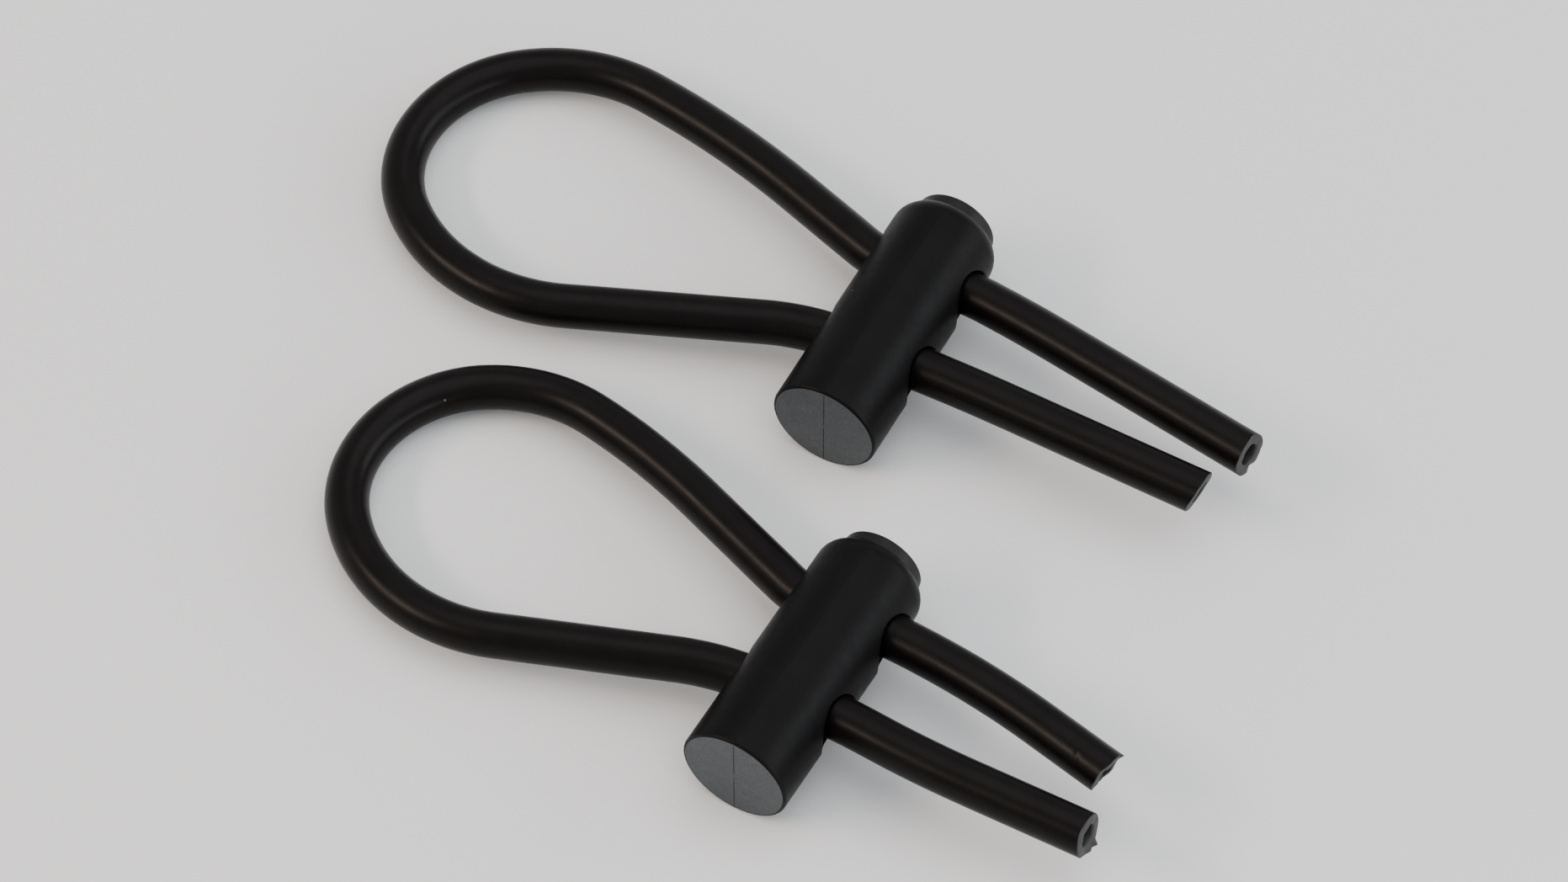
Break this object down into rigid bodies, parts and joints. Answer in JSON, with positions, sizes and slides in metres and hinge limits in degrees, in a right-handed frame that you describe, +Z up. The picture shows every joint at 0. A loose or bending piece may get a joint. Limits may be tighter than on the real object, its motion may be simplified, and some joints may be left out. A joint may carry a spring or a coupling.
{
  "type": "adjustable rubber tube loops with spring toggles",
  "caption": "Pair of teardrop loops of hollow rubber tube, each drawn through a cylindrical two-hole spring toggle with a push button.",
  "frame": {"origin": "on the ground under the middle of the pair as it lies, at the centre of the bounding box bottom", "axes": "+Z up; +Y along toggle a from its closed end to its button; +X from the loops towards the cut tube ends"},
  "size_m": [0.1356, 0.0973, 0.015],
  "materials": {
    "rubber_tube": "satin black extruded rubber with a soft sheen",
    "barrel_plastic": "matt black moulded plastic, finely textured",
    "plunger_plastic": "satin black moulded plastic",
    "spring_steel": "bright drawn spring wire"
  },
  "bodies": {
    "loop_a": {"loop_a_tube": "rubber_tube"},
    "toggle_a": {"toggle_a_barrel": "barrel_plastic", "toggle_a_spring": "spring_steel"},
    "button_a": {"toggle_a_plunger": "plunger_plastic"},
    "loop_b": {"loop_b_tube": "rubber_tube"},
    "toggle_b": {"toggle_b_barrel": "barrel_plastic", "toggle_b_spring": "spring_steel"},
    "button_b": {"toggle_b_plunger": "plunger_plastic"}
  },
  "joints": [
    {"name": "toggle_a_slide", "type": "slide", "parent": "loop_a", "child": "toggle_a", "axis": [0.9983, 0, 0.0578], "range_m": [0, 0.0025]},
    {"name": "button_a_press", "type": "slide", "parent": "toggle_a", "child": "button_a", "axis": [0, -1, 0], "range_m": [0, 0.0015], "stiffness_N_per_m": 1000, "springref_m": -0.004, "deforming": ["toggle_a_spring"]},
    {"name": "toggle_b_slide", "type": "slide", "parent": "loop_b", "child": "toggle_b", "axis": [0.9974, -0.0366, 0.0613], "range_m": [0, 0.0025]},
    {"name": "button_b_press", "type": "slide", "parent": "toggle_b", "child": "button_b", "axis": [-0.0366, -0.9993, 0], "range_m": [0, 0.0015], "stiffness_N_per_m": 1000, "springref_m": -0.004, "deforming": ["toggle_b_spring"]},
    {"name": "loop_b_lift", "type": "slide", "parent": "loop_a", "child": "loop_b", "axis": [0, 0, 1], "range_m": [0, 0.06]}
  ]
}
